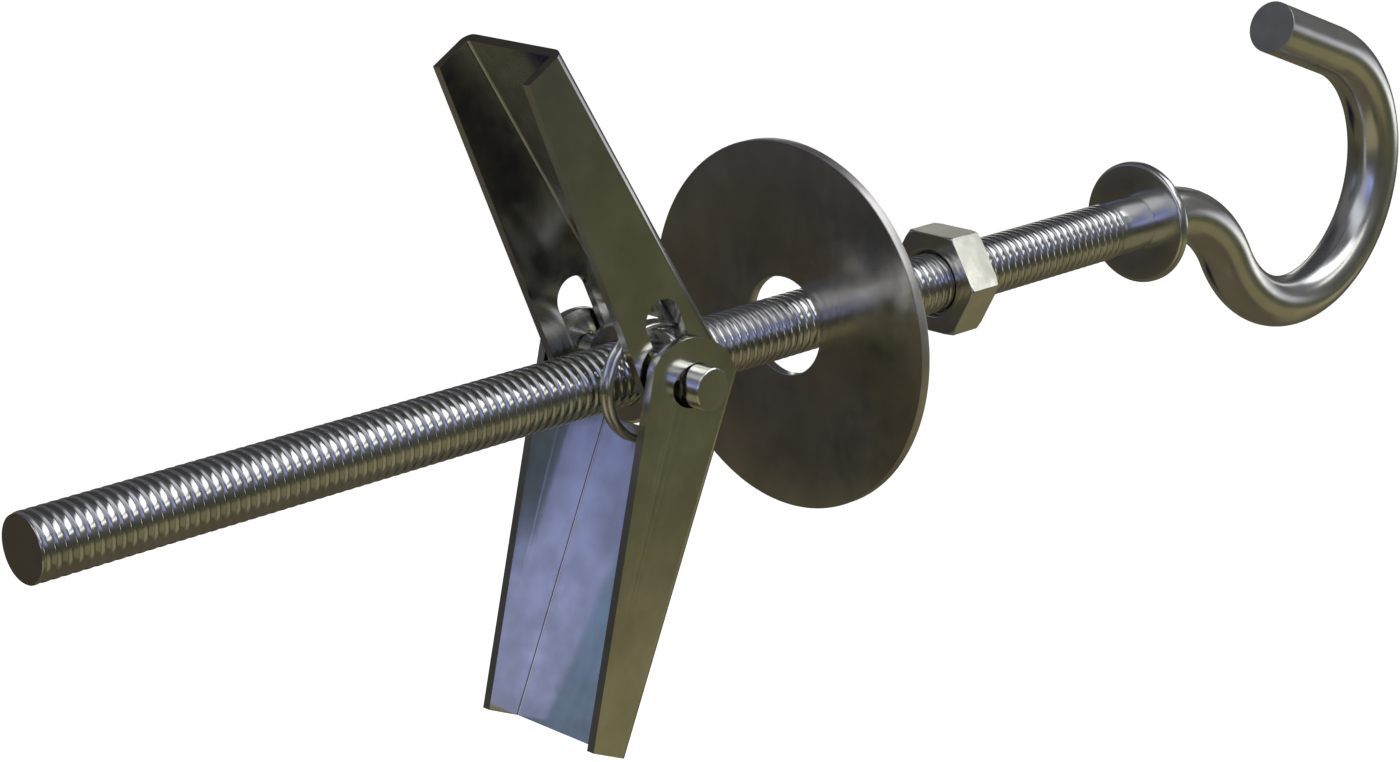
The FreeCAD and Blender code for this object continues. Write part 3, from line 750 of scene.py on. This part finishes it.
def tent_cloth():
    """Glowing cloth whose colour changes from the floor to the crown, with panels laid over it."""
    material, tree, _ = new_material("tent cloth")
    tree.nodes.clear()
    unit = tree.nodes.new("ShaderNodeVectorMath")
    unit.operation = "NORMALIZE"
    tree.links.new(object_place(tree), unit.inputs[0])
    rise = axes_of(tree, unit.outputs[0])["Z"]
    colour = ramp(tree, map_range(tree, rise, -1.0, 1.0, 0.0, 1.0), [
        (0.0, (0.12, 0.105, 0.068)),
        (0.13, (0.10, 0.088, 0.058)),
        (0.24, (0.12, 0.11, 0.065)),
        (0.36, (0.06, 0.06, 0.042)),
        (0.5, (0.075, 0.075, 0.07)),
        (0.6, (0.13, 0.13, 0.13)),
        (0.75, (0.14, 0.14, 0.15)),
        (1.0, (0.13, 0.13, 0.15)),
    ])

    # Azimuth, elevation, half width, half height and soft edge, all in degrees, then the colour.
    panels = [
        (-50, -16, 40, 5, 4, (0.095, 0.095, 0.055)),
        (-42, -35, 26, 13, 4, (0.22, 0.195, 0.105)),
        (-142, -40, 26, 18, 8, (0.30, 0.27, 0.17)),
        (-15, -24, 8, 4, 3, (0.35, 0.32, 0.22)),
        (130, -18, 26, 7, 4, (0.06, 0.05, 0.036)),
        (133, -3, 12, 5, 3, (0.05, 0.048, 0.05)),
        (133, 12, 7, 5, 3, (0.18, 0.26, 0.44)),
        (138, 24, 16, 5, 2.5, (0.07, 0.07, 0.082)),
        (-158, 18, 18, 16, 8, (0.44, 0.46, 0.62)),
        (-150, 50, 32, 14, 6, (0.75, 0.77, 0.86)),
        (-133, 18, 11, 9, 4, (0.26, 0.31, 0.76)),
        (-133, 9, 11, 4, 3, (0.52, 0.58, 1.1)),
        (-128, 27, 8, 4, 3, (0.22, 0.22, 0.27)),
        (137.5, -17, 2.5, 8, 2, (0.034, 0.033, 0.037)),
        (111, -38, 7, 6, 3, (0.11, 0.10, 0.08)),
        (94, -43, 14, 13, 4, (0.006, 0.006, 0.02)),
        (-100, -42, 8, 6, 3, (0.054, 0.049, 0.048)),
        (47, 43, 36, 28, 5, (0.06, 0.06, 0.07)),
        (79, 39, 8, 8, 3, (0.036, 0.031, 0.03)),
        (34, 13, 12, 2.5, 1.5, (0.45, 0.44, 0.38)),
        (42, 7, 9, 3, 2, (1.6, 1.6, 1.5)),
        (-16, -3, 15, 6, 4, (0.7, 0.7, 0.78)),
        (-11, -6.5, 12, 3, 2, (1.5, 1.5, 1.4)),
        (-8, -44, 8, 6, 4, (0.19, 0.17, 0.10)),
    ]
    for panel in panels:
        colour = spot_of_cloth(tree, colour, unit.outputs[0], *panel)
    glow = tree.nodes.new("ShaderNodeEmission")
    tree.links.new(colour, glow.inputs["Color"])
    out = tree.nodes.new("ShaderNodeOutputMaterial")
    tree.links.new(glow.outputs[0], out.inputs["Surface"])
    return material


tent_form = bmesh.new()
bmesh.ops.create_icosphere(tent_form, subdivisions=TENT_ROUNDNESS, radius=TENT_RADIUS)
tent_mesh = bpy.data.meshes.new("tent")
tent_form.to_mesh(tent_mesh)
tent_form.free()
tent_mesh.materials.append(tent_cloth())
tent = in_scene("tent", tent_mesh)
tent.visible_camera = False
tent.visible_shadow = False


def soft_box(name, azimuth, elevation, width, height, power, colour):
    """An area lamp that looks at the middle of the object."""
    lamp = bpy.data.lights.new(name, "AREA")
    lamp.shape = "RECTANGLE"
    lamp.size = width
    lamp.size_y = height
    lamp.energy = power
    lamp.color = colour
    holder = in_scene(name, lamp)
    way = heading_vector(azimuth, elevation)
    holder.location = way * LAMP_DISTANCE
    holder.rotation_euler = way.to_track_quat("Z", "Y").to_euler()
    holder.visible_camera = False


soft_box(
    "overhead soft box", azimuth=-43, elevation=49.5, width=0.7, height=0.29,
    power=1.12, colour=(0.92, 0.93, 1.0))
soft_box(
    "warm strip", azimuth=-60.5, elevation=27, width=0.5, height=0.075,
    power=0.195, colour=(0.98, 1.0, 0.92))


# Floor and room. A plain pale floor under the object and a plain white room round it, so that the
# camera sees white with only a soft shadow.
FLOOR_DEPTH = 0.25
FLOOR_REACH = 4.0


def pale_floor():
    """White where the camera sees it, but for the shadow that falls on it."""
    material, _, shader = new_material("pale floor")
    shader.inputs["Base Color"].default_value = (0.8, 0.8, 0.8, 1)
    shader.inputs["Roughness"].default_value = 0.9
    shader.inputs["Emission Color"].default_value = (1, 1, 1, 1)
    shader.inputs["Emission Strength"].default_value = 0.97
    return material


floor_mesh = bpy.data.meshes.new("floor")
floor_mesh.from_pydata(
    [(x * FLOOR_REACH, y * FLOOR_REACH, -FLOOR_DEPTH) for x, y in ((-1, -1), (1, -1), (1, 1), (-1, 1))],
    [], [(0, 1, 2, 3)])
floor_mesh.materials.append(pale_floor())
floor = in_scene("floor", floor_mesh)
floor.visible_glossy = False

world = bpy.data.worlds.new("white room")
world.use_nodes = True
world_tree = world.node_tree
world_tree.nodes.clear()
room = world_tree.nodes.new("ShaderNodeBackground")
room.inputs["Color"].default_value = (1, 1, 1, 1)
seen = world_tree.nodes.new("ShaderNodeLightPath").outputs
mirrored = math_node(world_tree, "MAXIMUM", seen["Is Glossy Ray"], seen["Is Transmission Ray"])
feed(world_tree, room.inputs["Strength"], math_node(world_tree, "MAXIMUM", seen["Is Camera Ray"], mirrored))
world_out = world_tree.nodes.new("ShaderNodeOutputWorld")
world_tree.links.new(room.outputs[0], world_out.inputs["Surface"])
bpy.context.scene.world = world
bpy.context.scene.view_settings.view_transform = "Standard"
